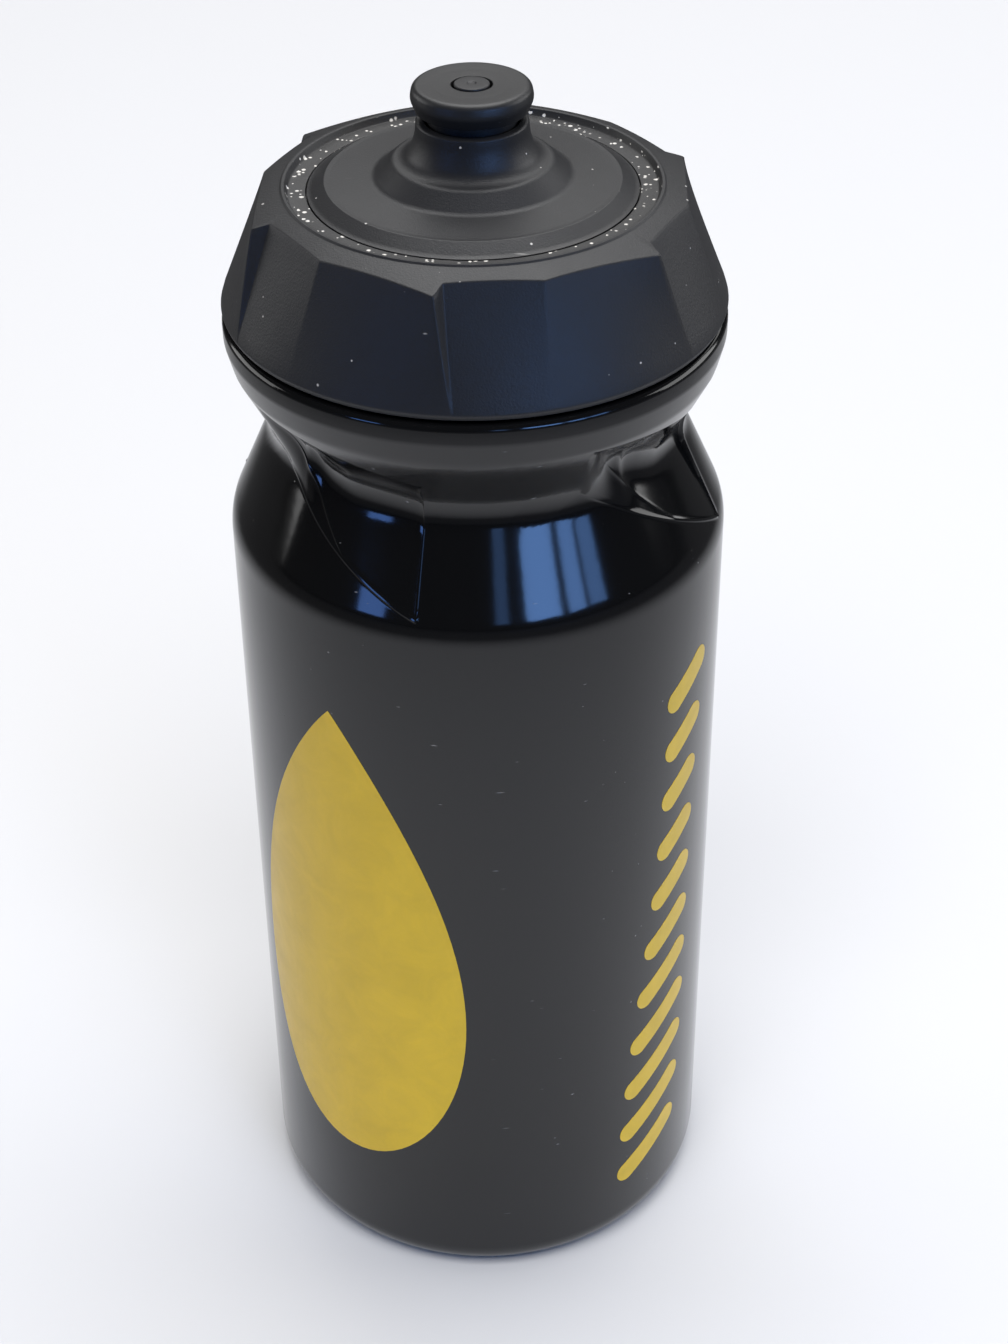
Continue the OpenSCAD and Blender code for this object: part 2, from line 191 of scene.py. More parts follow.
def in_mm(sizes):
    """The lengths of a property group in millimetres, its angles in degrees, and its counts."""
    values = {}
    for key, prop in sizes.bl_rna.properties.items():
        if prop.type not in {"FLOAT", "INT"}:
            continue
        value = getattr(sizes, key)
        if prop.subtype == "ANGLE":
            value = math.degrees(value)
        elif prop.unit == "LENGTH":
            value = value / MM
        values[key] = value
    return SimpleNamespace(**values)


# ------------------------------------------------------------------ outlines
def rounded(corners, closed=True, steps=8):
    """An outline of (radius, height) points; a corner with a third number is rounded to that radius."""
    outline = []
    count = len(corners)
    for i, corner in enumerate(corners):
        here = Vector(corner[:2])
        at_end = not closed and i in (0, count - 1)
        if len(corner) < 3 or at_end:
            outline.append(here)
            continue
        to_last = (Vector(corners[i - 1][:2]) - here).normalized()
        to_next = (Vector(corners[(i + 1) % count][:2]) - here).normalized()
        half = to_last.angle(to_next) / 2
        centre = here + (to_last + to_next).normalized() * (corner[2] / math.sin(half))
        start = here + to_last * (corner[2] / math.tan(half)) - centre
        sweep = start.angle_signed(here + to_next * (corner[2] / math.tan(half)) - centre)
        for step in range(steps + 1):
            outline.append(centre + Matrix.Rotation(-sweep * step / steps, 2) @ start)
    return outline


def between(start, end, count):
    """Points on the way from start to end, without either of them."""
    start, end = Vector(start), Vector(end)
    return [start.lerp(end, step / (count + 1)) for step in range(1, count + 1)]


def radius_at(outline, height):
    """The radius of an outline that climbs steadily, at a height."""
    for low, high in zip(outline, outline[1:]):
        if low.y <= height <= high.y and high.y > low.y:
            return low.x + (high.x - low.x) * (height - low.y) / (high.y - low.y)
    return outline[0].x if height < outline[0].y else outline[-1].x


def follow(knots, place):
    """The value at a place on straight lines between (place, value) knots."""
    for (start, low), (end, high) in zip(knots, knots[1:]):
        if start <= place <= end:
            return low + (high - low) * (place - start) / (end - start)
    return knots[-1][1]


def ring_section(inner, outer, low, high, fillet, steps):
    """The outline of a flat ring with rounded corners."""
    corners = ((inner, low), (outer, low), (outer, high), (inner, high))
    return rounded([(*corner, fillet) for corner in corners], steps=steps)


def ease(value):
    """0 to 1, with a slow start and a slow end."""
    value = min(1.0, max(0.0, value))
    return value * value * (3 - 2 * value)


# ------------------------------------------------------------------ meshes
def lathe(outline_at, steps=256, turn_at=None, closed=True, lean=None):
    """Rolls a grid into a lathed shape round the Z axis.

    outline_at(turn) gives the outline at a direction, always with the same number of points.
    turn_at(column) may space the columns unevenly, and lean(turn, row, point) may turn a point further.
    """
    shape = bmesh.new()
    turns = [turn_at(column) if turn_at else column * 360 / steps for column in range(steps)]
    outlines = [outline_at(turn) for turn in turns]
    rows = len(outlines[0])
    last_row = rows if closed else rows - 1
    bmesh.ops.create_grid(shape, x_segments=steps, y_segments=last_row, size=1)
    for vert in shape.verts:
        column = round((vert.co.x + 1) / 2 * steps) % steps
        row = round((vert.co.y + 1) / 2 * last_row) % rows
        turn = turns[column]
        point = outlines[column][row]
        around = math.radians(turn + (lean(turn, row, point) if lean else 0.0))
        vert.co = (point.x * math.cos(around) * MM, point.x * math.sin(around) * MM, point.y * MM)
    bmesh.ops.remove_doubles(shape, verts=shape.verts, dist=1e-8)
    bmesh.ops.recalc_face_normals(shape, faces=shape.faces)
    return shape


def spun(outline, steps=128):
    """Spins one closed outline round the Z axis."""
    shape = bmesh.new()
    corners = [shape.verts.new((point.x * MM, 0, point.y * MM)) for point in outline]
    edges = [shape.edges.new((corners[i - 1], corner)) for i, corner in enumerate(corners)]
    bmesh.ops.spin(shape, geom=corners + edges, cent=(0, 0, 0), axis=(0, 0, 1),
                   angle=math.tau, steps=steps, use_merge=True)
    bmesh.ops.recalc_face_normals(shape, faces=shape.faces)
    return shape


def merge_into(shape, extra):
    """Adds one bmesh to another and frees it."""
    mesh = bpy.data.meshes.new("extra")
    extra.to_mesh(mesh)
    extra.free()
    shape.from_mesh(mesh)
    bpy.data.meshes.remove(mesh)


def turn_about_axis(shape, verts, angle):
    """Turns vertices round the Z axis."""
    bmesh.ops.rotate(shape, verts=verts, cent=(0, 0, 0), matrix=Matrix.Rotation(angle, 3, "Z"))


def add_blocks(shape, count, first, size, radius, height):
    """Adds evenly spaced blocks round the Z axis; sizes in millimetres."""
    for index in range(count):
        block = bmesh.ops.create_cube(shape, size=1.0)["verts"]
        bmesh.ops.scale(shape, verts=block, vec=[side * MM for side in size])
        bmesh.ops.translate(shape, verts=block, vec=(radius * MM, 0, height * MM))
        turn_about_axis(shape, block, first + math.tau * index / count)


def screw_ridge(wall, crest, start, lead, turns, first_turn=0.0, root_width=2.4, crest_width=1.2):
    """A right-hand screw ridge that runs out into its wall at both ends; sizes in millimetres."""
    shape = bmesh.new()
    sink = -0.5 if crest > wall else 0.5
    section = [(wall + sink, -root_width / 2), (crest, -crest_width / 2),
               (crest, crest_width / 2), (wall + sink, root_width / 2)]
    layer = shape.verts.layers.int.new("corner")
    ring = []
    for index, (radius, height) in enumerate(section):
        vert = shape.verts.new((radius * MM, 0, (start + height) * MM))
        vert[layer] = index
        ring.append(vert)
    steps = round(turns * 96)
    bmesh.ops.spin(shape, geom=[shape.faces.new(ring)], cent=(0, 0, 0), axis=(0, 0, 1),
                   dvec=(0, 0, lead * turns / steps * MM), angle=math.tau * turns, steps=steps)
    run_out = lead * MM / 10
    sunk = wall + sink * 0.4
    crest_corners = (1, 2)
    for vert in shape.verts:
        height = section[vert[layer]][1]
        climbed = vert.co.z - (start + height) * MM
        left = min(climbed, lead * turns * MM - climbed)
        if vert[layer] in crest_corners and left < run_out:
            vert.co.xy *= (sunk + (crest - sunk) * ease(left / run_out)) * MM / vert.co.xy.length
    turn_about_axis(shape, shape.verts, math.radians(first_turn))
    bmesh.ops.recalc_face_normals(shape, faces=shape.faces)
    return shape


def make_piece(name, shape, body, material, stands_for=None, sharp=35):
    """Turns a bmesh into a smooth-shaded piece that rides on a body."""
    mesh = bpy.data.meshes.new(name)
    shape.to_mesh(mesh)
    shape.free()
    mesh.shade_smooth()
    mesh.set_sharp_from_angle(angle=math.radians(sharp))
    mesh.materials.append(bpy.data.materials[material])
    piece = bpy.data.objects.new(name, mesh)
    bpy.context.scene.collection.objects.link(piece)
    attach(piece, body)
    if stands_for:
        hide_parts(stands_for)
    return piece


# ------------------------------------------------------------------ shader building
def shader_node(tree, kind, inputs=None, **settings):
    """Adds a node, sets its properties, then sets or links its inputs by name or number."""
    node = tree.nodes.new(kind)
    for key, value in settings.items():
        setattr(node, key, value)
    for key, value in (inputs or {}).items():
        if isinstance(value, bpy.types.NodeSocket):
            tree.links.new(value, node.inputs[key])
        else:
            node.inputs[key].default_value = value
    return node


def maths(tree, operation, *values, clamp=False):
    """The output of a Math node."""
    node = shader_node(tree, "ShaderNodeMath", dict(enumerate(values)), operation=operation)
    node.use_clamp = clamp
    return node.outputs[0]


def effect_group(name, inputs, outputs):
    """An empty node group with float inputs (name: default) and float outputs, and a Vector input."""
    group = bpy.data.node_groups.new(name, "ShaderNodeTree")
    vector = group.interface.new_socket("Vector", in_out="INPUT", socket_type="NodeSocketVector")
    vector.hide_value = True
    for key, default in inputs.items():
        socket = group.interface.new_socket(key, in_out="INPUT", socket_type="NodeSocketFloat")
        socket.default_value = default
    for key in outputs:
        group.interface.new_socket(key, in_out="OUTPUT", socket_type="NodeSocketFloat")
    return group, group.nodes.new("NodeGroupInput").outputs, group.nodes.new("NodeGroupOutput").inputs


def build_grain():
    """Fine moulded grain: a height that mixes pits of two sizes."""
    group, given, result = effect_group("Moulded Grain", {"Size": 0.0004}, ["Height"])
    scale = maths(group, "DIVIDE", 1.0, given["Size"])
    fine = shader_node(group, "ShaderNodeTexNoise",
                       {"Vector": given["Vector"], "Scale": scale, "Detail": 3.0, "Roughness": 0.6})
    pits = shader_node(group, "ShaderNodeTexVoronoi",
                       {"Vector": given["Vector"], "Scale": maths(group, "MULTIPLY", scale, 0.6)},
                       feature="SMOOTH_F1")
    pits.inputs["Smoothness"].default_value = 0.4
    mixed = maths(group, "ADD", maths(group, "MULTIPLY", fine.outputs["Fac"], 0.6),
                  maths(group, "MULTIPLY", pits.outputs["Distance"], 0.4))
    group.links.new(mixed, result["Height"])


def scattered_cells(group, vector, spacing):
    """Cells round scattered points: distance from the point, and three random values for each cell."""
    cells = shader_node(group, "ShaderNodeTexVoronoi",
                        {"Vector": vector, "Scale": maths(group, "DIVIDE", 1.0, spacing)})
    random = shader_node(group, "ShaderNodeSeparateColor", {"Color": cells.outputs["Color"]})
    return cells.outputs["Distance"], random.outputs


def near_point(group, distance, reach):
    """A mask that falls from 1 at a cell's point to 0 at reach."""
    return maths(group, "SUBTRACT", 1.0, maths(group, "DIVIDE", distance, reach), clamp=True)


def build_specks():
    """Scattered round specks of dust: a mask."""
    group, given, result = effect_group("Dust Specks", {"Spacing": 0.0012, "Amount": 0.2, "Size": 0.12},
                                        ["Mask"])
    distance, random = scattered_cells(group, given["Vector"], given["Spacing"])
    chosen = maths(group, "LESS_THAN", random[0], given["Amount"])
    reach = maths(group, "MULTIPLY", given["Size"], maths(group, "ADD", 0.35, random[1]))
    solid = maths(group, "MULTIPLY", near_point(group, distance, reach), 2.5, clamp=True)
    group.links.new(maths(group, "MULTIPLY", chosen, solid), result["Mask"])


def build_flecks():
    """Short hair-like scratches and lint in every direction: a mask."""
    group, given, result = effect_group("Flecks", {"Spacing": 0.008, "Amount": 0.3}, ["Mask"])
    total = None
    for turn, tilt in ((0.5, 0.3), (2.0, 1.1), (3.6, 2.2)):
        turned = shader_node(group, "ShaderNodeMapping", {"Vector": given["Vector"],
                             "Rotation": (turn, tilt, turn * 0.7), "Scale": (1.0, 9.0, 9.0)})
        distance, random = scattered_cells(group, turned.outputs[0], given["Spacing"])
        chosen = maths(group, "LESS_THAN", random[0], maths(group, "MULTIPLY", given["Amount"], 0.12))
        reach = maths(group, "MULTIPLY", random[2], 0.14)
        mask = maths(group, "MULTIPLY", chosen, near_point(group, distance, reach))
        total = mask if total is None else maths(group, "MAXIMUM", total, mask)
    group.links.new(total, result["Mask"])


def build_handling():
    """Soft, large patches from handling, for roughness: a value round 0."""
    group, given, result = effect_group("Handling", {"Size": 0.02}, ["Value"])
    patches = shader_node(group, "ShaderNodeTexNoise",
                          {"Vector": given["Vector"], "Scale": maths(group, "DIVIDE", 1.0, given["Size"]),
                           "Detail": 4.0, "Roughness": 0.65, "Distortion": 0.6})
    group.links.new(maths(group, "SUBTRACT", patches.outputs["Fac"], 0.5), result["Value"])


def effect(tree, name, vector, inputs=None):
    """Places an effect's group in a material."""
    node = tree.nodes.new("ShaderNodeGroup")
    node.node_tree = bpy.data.node_groups[name]
    tree.links.new(vector, node.inputs["Vector"])
    for key, value in (inputs or {}).items():
        if isinstance(value, bpy.types.NodeSocket):
            tree.links.new(value, node.inputs[key])
        else:
            node.inputs[key].default_value = value
    return node.outputs[0]


def start_material(name):
    """A new material with its tree, its Principled shader and Object coordinates."""
    material = bpy.data.materials.new(name)
    material.use_nodes = True
    tree = material.node_tree
    shader = tree.nodes["Principled BSDF"]
    place = tree.nodes.new("ShaderNodeTexCoord").outputs["Object"]
    return material, tree, shader, place


def mix_colours(tree, mask, low, high):
    """The colour between low and high by a mask."""
    node = shader_node(tree, "ShaderNodeMix", data_type="RGBA")
    for socket, value in zip((node.inputs[0], node.inputs[6], node.inputs[7]), (mask, low, high)):
        if isinstance(value, bpy.types.NodeSocket):
            tree.links.new(value, socket)
        else:
            socket.default_value = value if isinstance(value, float) else (*value, 1.0)
    return node.outputs[2]


def bump(tree, shader, height, distance, strength=1.0):
    """Feeds a height to the shader's normal."""
    node = shader_node(tree, "ShaderNodeBump",
                       {"Strength": strength, "Distance": distance, "Height": height})
    tree.links.new(node.outputs[0], shader.inputs["Normal"])


def from_axis(tree, place):
    """Distance from the Z axis and height, in metres."""
    parts = shader_node(tree, "ShaderNodeSeparateXYZ", {"Vector": place})
    flat = shader_node(tree, "ShaderNodeCombineXYZ", {"X": parts.outputs[0], "Y": parts.outputs[1]})
    away = shader_node(tree, "ShaderNodeVectorMath", {0: flat.outputs[0]}, operation="LENGTH")
    return away.outputs["Value"], parts.outputs[2]


def ramp(tree, value, zero, one):
    """0 at one value and 1 at another, straight between them."""
    return shader_node(tree, "ShaderNodeMapRange",
                       {"Value": value, "From Min": zero, "From Max": one}).outputs[0]


def band(tree, value, low, high, soft):
    """1 where value lies between low and high, falling to 0 over soft on both sides."""
    return maths(tree, "MULTIPLY", ramp(tree, value, low - soft, low), ramp(tree, value, high + soft, high))


def handled(tree, place, roughness, size, amount):
    """A roughness that handling has made patchy."""
    patches = effect(tree, "Handling", place, {"Size": size})
    return maths(tree, "ADD", roughness, maths(tree, "MULTIPLY", patches, amount))


def set_surface(tree, shader, base, roughness, height, depth, strength):
    """Gives a shader its colour, roughness and raised grain."""
    tree.links.new(base, shader.inputs["Base Color"])
    tree.links.new(roughness, shader.inputs["Roughness"])
    bump(tree, shader, height, depth, strength)


def bottle_plastic(looks):
    """Glossy black polyethylene with faint orange peel, handling marks and a few hairline flecks."""
    material, tree, shader, place = start_material("bottle_finish")
    flecks = effect(tree, "Flecks", place, {"Spacing": 0.011, "Amount": 0.5})
    specks = effect(tree, "Dust Specks", place, {"Spacing": 0.0045, "Amount": 0.1, "Size": 0.03})
    marks = maths(tree, "MAXIMUM", flecks, specks)
    base = mix_colours(tree, maths(tree, "MULTIPLY", marks, 0.45), looks.bottle, looks.dust)
    worn = handled(tree, place, looks.bottle_roughness, 0.028, 0.08)
    rough = maths(tree, "ADD", worn, maths(tree, "MULTIPLY", marks, 0.3), clamp=True)
    grain = effect(tree, "Moulded Grain", place, {"Size": 0.0011})
    height = maths(tree, "ADD", grain, maths(tree, "MULTIPLY", flecks, -0.5))
    set_surface(tree, shader, base, rough, height, 0.00002, 0.3)
    shader.inputs["IOR"].default_value = 1.5
    return material


def cap_plastic(looks):
    """Matte black polypropylene with a fine grain, dust in the groove and lint on the skirt."""
    material, tree, shader, place = start_material("cap_finish")
    away, height = from_axis(tree, place)
    groove_inner, groove_outer = spout_high.x + 0.0001, 0.0257
    in_groove = band(tree, away, groove_inner, groove_outer, 0.0004)
    on_top = ramp(tree, height, cap_high.z - 0.006, cap_high.z - 0.003)
    patches = effect(tree, "Handling", place, {"Size": 0.012})
    thick = maths(tree, "MULTIPLY", maths(tree, "MULTIPLY", in_groove, on_top),
                  maths(tree, "ADD", patches, 0.42), clamp=True)
    groove_dust = effect(tree, "Dust Specks", place, {"Spacing": 0.0007, "Size": 0.45,
                         "Amount": maths(tree, "MULTIPLY", thick, 0.7)})
    loose = effect(tree, "Dust Specks", place, {"Spacing": 0.0024, "Amount": 0.25, "Size": 0.09})
    flecks = effect(tree, "Flecks", place, {"Spacing": 0.010, "Amount": 0.6})
    dust = maths(tree, "MAXIMUM", groove_dust, maths(tree, "MULTIPLY", loose, 0.6))
    marks = maths(tree, "MAXIMUM", dust, maths(tree, "MULTIPLY", flecks, 0.5))
    film = maths(tree, "MULTIPLY", thick, 0.05)
    base = mix_colours(tree, maths(tree, "MAXIMUM", marks, film), looks.cap, looks.dust)
    worn = handled(tree, place, looks.cap_roughness, 0.016, 0.14)
    rough = maths(tree, "ADD", worn, maths(tree, "MULTIPLY", marks, 0.3), clamp=True)
    grain = effect(tree, "Moulded Grain", place, {"Size": 0.00022})
    set_surface(tree, shader, base, rough, grain, 0.00006, 0.7)
    shader.inputs["IOR"].default_value = 1.5
    return material


def spout_plastic(looks):
    """The spout's matte black plastic: finer grain, a little dust."""
    material, tree, shader, place = start_material("spout_finish")
    specks = effect(tree, "Dust Specks", place, {"Spacing": 0.0018, "Amount": 0.2, "Size": 0.1})
    flecks = effect(tree, "Flecks", place, {"Spacing": 0.012, "Amount": 0.35})
    marks = maths(tree, "MAXIMUM", specks, maths(tree, "MULTIPLY", flecks, 0.4))
    base = mix_colours(tree, maths(tree, "MULTIPLY", marks, 0.7), looks.cap, looks.dust)
    grain = effect(tree, "Moulded Grain", place, {"Size": 0.00018})
    set_surface(tree, shader, base, handled(tree, place, 0.46, 0.010, 0.12), grain, 0.00005, 0.6)
    return material


def soft_plastic(looks):
    """The mouthpiece's soft black plastic: smooth, with small scuffs."""
    material, tree, shader, place = start_material("mouthpiece_finish")
    flecks = effect(tree, "Flecks", place, {"Spacing": 0.006, "Amount": 0.5})
    specks = effect(tree, "Dust Specks", place, {"Spacing": 0.0018, "Amount": 0.08, "Size": 0.08})
    marks = maths(tree, "MAXIMUM", maths(tree, "MULTIPLY", flecks, 0.4), specks)
    base = mix_colours(tree, maths(tree, "MULTIPLY", marks, 0.5), looks.soft, looks.dust)
    grain = effect(tree, "Moulded Grain", place, {"Size": 0.0003})
    set_surface(tree, shader, base, handled(tree, place, 0.42, 0.005, 0.15), grain, 0.00003, 0.5)
    return material


def seal_rubber(looks):
    """Dark grey rubber of the gasket and rings, with a dull bloom."""
    material, tree, shader, place = start_material("seal_finish")
    bloom = effect(tree, "Handling", place, {"Size": 0.004})
    cover = maths(tree, "ADD", 0.12, maths(tree, "MULTIPLY", bloom, 0.4), clamp=True)
    base = mix_colours(tree, cover, looks.seal, looks.dust)
    rough = maths(tree, "ADD", 0.6, maths(tree, "MULTIPLY", bloom, 0.2))
    grain = effect(tree, "Moulded Grain", place, {"Size": 0.0003})
    set_surface(tree, shader, base, rough, grain, 0.00003, 0.5)
    return material


def print_ink(looks):
    """Mustard ink: slightly uneven cover with pinholes."""
    material, tree, shader, place = start_material("ink_finish")
    patches = effect(tree, "Handling", place, {"Size": 0.007})
    thin = maths(tree, "ADD", 0.08, maths(tree, "MULTIPLY", patches, 0.35), clamp=True)
    pinholes = effect(tree, "Dust Specks", place, {"Spacing": 0.003, "Amount": 0.12, "Size": 0.035})
    uncovered = maths(tree, "MAXIMUM", thin, maths(tree, "MULTIPLY", pinholes, 0.7))
    base = mix_colours(tree, uncovered, looks.ink, looks.bottle)
    rough = maths(tree, "ADD", 0.33, maths(tree, "MULTIPLY", patches, 0.12))
    grain = effect(tree, "Moulded Grain", place, {"Size": 0.0009})
    set_surface(tree, shader, base, rough, grain, 0.00003, 0.4)
    return material


class BOTTLE_OT_finishes(bpy.types.Operator):
    """Build the shared shader effects and every material"""
    bl_idname = "bottle.finishes"
    bl_label = "Finishes"

    def execute(self, context):
        build_grain()
        build_specks()
        build_flecks()
        build_handling()
        looks = context.scene.bottle_finishes
        for build in (bottle_plastic, cap_plastic, spout_plastic, soft_plastic, seal_rubber, print_ink):
            build(looks)
        return {"FINISHED"}


# ------------------------------------------------------------------ bottle
def plain_shoulder(b):
    """The shoulder without its grooves, from the body up to the ledge inside the rim."""
    return rounded([(b.body_radius, b.body_top - 8), (b.body_radius, b.body_top, 10),
                    (b.waist_radius, b.waist_height, 6), (b.rim_radius - 0.9, b.rim_underside, 0.6),
                    (b.rim_radius, b.rim_underside + 3.5, 3), (b.rim_radius, b.ledge, 1),
                    (b.neck_radius, b.ledge, 0.5), (b.neck_radius, b.neck_top)], closed=False, steps=14)


def groove_heights(b, turn):
    """Heights at a turn before a groove's end wall: lower crease, facet's top and upper crease.

    The creases climb away from the end wall, and stay at least a little apart.
    """
    foot = b.body_top + 1.4
    apart = 0.3
    facet_start = -17
    low_crease = foot + 18 * (-turn / 56) ** 1.1
    facet = low_crease + apart
    if turn < facet_start:
        facet = max(facet, foot + 4.7 + 19.6 * ((facet_start - turn) / 32) ** 1.12)
    drop = 3.5 * (max(0.0, turn + b.groove_span) / 40) ** 1.6
    return low_crease, facet, max(foot + 24.3 - drop, facet + apart)


def groove_section(b, turn, facet, high_crease):
    """A groove's hollow at a turn: a flank, a rounded valley and a short flank, between two crease points.

    The groove fades in along its length, and its lower flank runs about parallel to the shoulder.
    """
    valley = facet.lerp(high_crease, 0.42 + 0.3 * ease((turn + 38) / 38))
    sunk = facet.x - 0.52 * (valley.y - facet.y)
    valley.x += (sunk - valley.x) * ease((turn + b.groove_span) / 20)
    low_flank, high_flank = valley - facet, high_crease - valley
    bend = low_flank.angle(high_flank)
    reach = 0.8 * min(low_flank.length, high_flank.length)
    fillet = min(6.0, reach / math.tan(bend / 2))
    return rounded([facet, (*valley, fillet), high_crease], closed=False, steps=12)


def shoulder_rows(b, plain, turn):
    """The shoulder's outline at a turn, with its rows gathered at the creases.

    Between one groove and the next the creases slide back over the plain shoulder.
    """
    pitch = 360 / b.groove_count
    turn = (turn - b.groove_end) % pitch - pitch
    in_groove = turn > -b.groove_span
    if in_groove:
        low_crease, facet, high_crease = groove_heights(b, turn)
    else:
        slid = (turn + pitch) / (pitch - b.groove_span)
        ends = zip(groove_heights(b, 0.0), groove_heights(b, -b.groove_span))
        low_crease, facet, high_crease = (now + (then - now) * slid for now, then in ends)
    bottom, top = b.body_top - BELOW_SHOULDER, b.rim_underside + RIM_START
    low_radius, facet_radius, high_radius = (radius_at(plain, z) for z in (low_crease, facet, high_crease))
    hollow = plain
    if in_groove:
        flat = low_radius - 0.16 * (facet - low_crease)
        facet_radius += min(0.0, flat - facet_radius) * ease((turn + b.groove_span) / 14)
        hollow = groove_section(b, turn, Vector((facet_radius, facet)), Vector((high_radius, high_crease)))
    crease_spread, end_spread = 0.2, 0.35
    bead = b.crease_bead * ease((turn + b.groove_span) / 6) if in_groove else 0.0
    end_bead = 1.5 * b.crease_bead * math.exp(-(min(-turn, turn + pitch) / end_spread) ** 2)
    rows = []
    for low, high, count in ((bottom, low_crease, 30), (low_crease, facet, 8),
                             (facet, high_crease, 34), (high_crease, top, 12)):
        for step in range(count):
            part = (1 - math.cos(math.pi * step / count)) / 2
            height = low + (high - low) * part
            radius = radius_at(plain, height)
            if in_groove and low == low_crease:
                radius = low_radius + (facet_radius - low_radius) * part
            elif in_groove and low == facet:
                radius = radius_at(hollow, height)
            for crease in (low_crease, facet):
                radius += bead * math.exp(-((height - crease) / crease_spread) ** 2)
            if low_crease < height < high_crease:
                radius += end_bead
            rows.append(Vector((radius, height)))
    return rows


def bottle_outline(b, plain):
    """A function that gives the bottle's whole outline at a turn."""
    body = b.body_radius
    base = rounded([(0, b.push_up), (22, b.push_up, 4), (26.5, 0, 1.2), (body, 0, b.base_fillet),
                    (body, b.body_top - BELOW_SHOULDER)], closed=False, steps=10)[:-1]
    side = between((body, b.base_fillet), (body, b.body_top - BELOW_SHOULDER), 6)
    rim_start = b.rim_underside + RIM_START
    rim = [point for point in plain if point.y > rim_start and point.x > b.neck_radius][:-1]
    neck_bore = b.neck_radius - b.neck_wall
    neck = rounded([(b.rim_radius - 3, b.ledge), (b.neck_radius, b.ledge, 0.5),
                    (b.neck_radius, b.neck_top, 0.4), (neck_bore, b.neck_top, 0.4),
                    (neck_bore, b.ledge)], closed=False, steps=5)[:-1]
    wall = b.wall
    rim_bore, ceiling = b.rim_radius - 1.6 - wall, b.ledge - wall
    inside = rounded([(neck_bore, b.neck_top - 3), (neck_bore, ceiling, 0.8),
                      (rim_bore, ceiling, 0.8), (rim_bore, ceiling - 2, 2),
                      (b.waist_radius - 2.8, b.waist_height - 1.5, 5),
                      (b.waist_radius + 1.5 - wall, b.body_top + 6, 5), (body - wall, b.body_top - 1.5, 3),
                      (body - wall, wall, b.base_fillet - wall), (25.5, wall, 1.5),
                      (21, b.push_up + wall, 3), (0, b.push_up + wall)], closed=False, steps=6)

    def outline(turn):
        return base + side + shoulder_rows(b, plain, turn) + rim + neck + inside
    return outline


def groove_columns(b, steps):
    """Gathers the columns of a lathe closely round each groove's end wall."""
    pitch = steps / b.groove_count
    gathered = 3

    def turn(column):
        place = (column + 0.5) % pitch
        offset = place if place < pitch / 2 else place - pitch
        nearest = column + 0.5 - offset
        degrees = offset * 360 / steps
        if abs(degrees) < gathered:
            degrees = math.copysign(gathered * (abs(degrees) / gathered) ** 2.2, degrees)
        return b.groove_end + nearest * 360 / steps + degrees
    return turn


class BOTTLE_OT_body(bpy.types.Operator):
    """Build the bottle with its swirled shoulder, rolled rim and threaded neck"""
    bl_idname = "bottle.body"
    bl_label = "Bottle"

    def execute(self, context):
        b = in_mm(context.scene.bottle_sizes)
        steps = 360
        shape = lathe(bottle_outline(b, plain_shoulder(b)), steps, groove_columns(b, steps), closed=False)
        merge_into(shape, screw_ridge(b.neck_radius, b.neck_radius + b.thread_depth,
                                      b.ledge + THREAD_START, b.thread_lead, b.thread_turns))
        make_piece("squeeze_bottle", shape, "bottle", "bottle_finish", "bottle_body",
                   sharp=60)
        return {"FINISHED"}


# ------------------------------------------------------------------ print
def wrap(shape, direction, radius, ink):
    """Wraps a flat shape round the body and gives it the ink's thickness; X runs round, Y runs up."""
    bmesh.ops.recalc_face_normals(shape, faces=shape.faces)
    if sum(face.normal.z for face in shape.faces) < 0:
        bmesh.ops.reverse_faces(shape, faces=shape.faces)
    raised = bmesh.ops.extrude_face_region(shape, geom=shape.faces[:])
    top = [item for item in raised["geom"] if isinstance(item, bmesh.types.BMVert)]
    bmesh.ops.translate(shape, verts=top, vec=(0, 0, ink))
    for vert in shape.verts:
        around = math.radians(direction) + vert.co.x / (radius * MM)
        away = radius * MM + vert.co.z
        vert.co = (away * math.cos(around), away * math.sin(around), vert.co.y)
    bmesh.ops.recalc_face_normals(shape, faces=shape.faces)


def slice_upright(shape, width, step):
    """Cuts a flat shape into upright strips, so that it can bend round the body."""
    count = int(width / step)
    for index in range(-count, count + 1):
        everything = shape.verts[:] + shape.edges[:] + shape.faces[:]
        bmesh.ops.bisect_plane(shape, geom=everything, plane_co=(index * step, 0, 0),
                               plane_no=(1, 0, 0), dist=1e-7)


def drop_shape(width, bottom, top, points=96):
    """A water drop with a pointed tip, standing upright in the XY plane."""
    shape = bmesh.new()
    widest = 0.62
    bmesh.ops.create_circle(shape, cap_ends=True, segments=points, radius=1.0)
    for vert in shape.verts:
        around = math.atan2(vert.co.x, -vert.co.y)
        half = abs(around) / math.pi
        narrow = math.sin(abs(around)) * (1 - half ** 2.2) ** 0.9
        vert.co.x = math.copysign(narrow * width * widest, around)
        vert.co.y = bottom + (top - bottom) * (1 - math.cos(half * math.pi)) / 2
    return shape


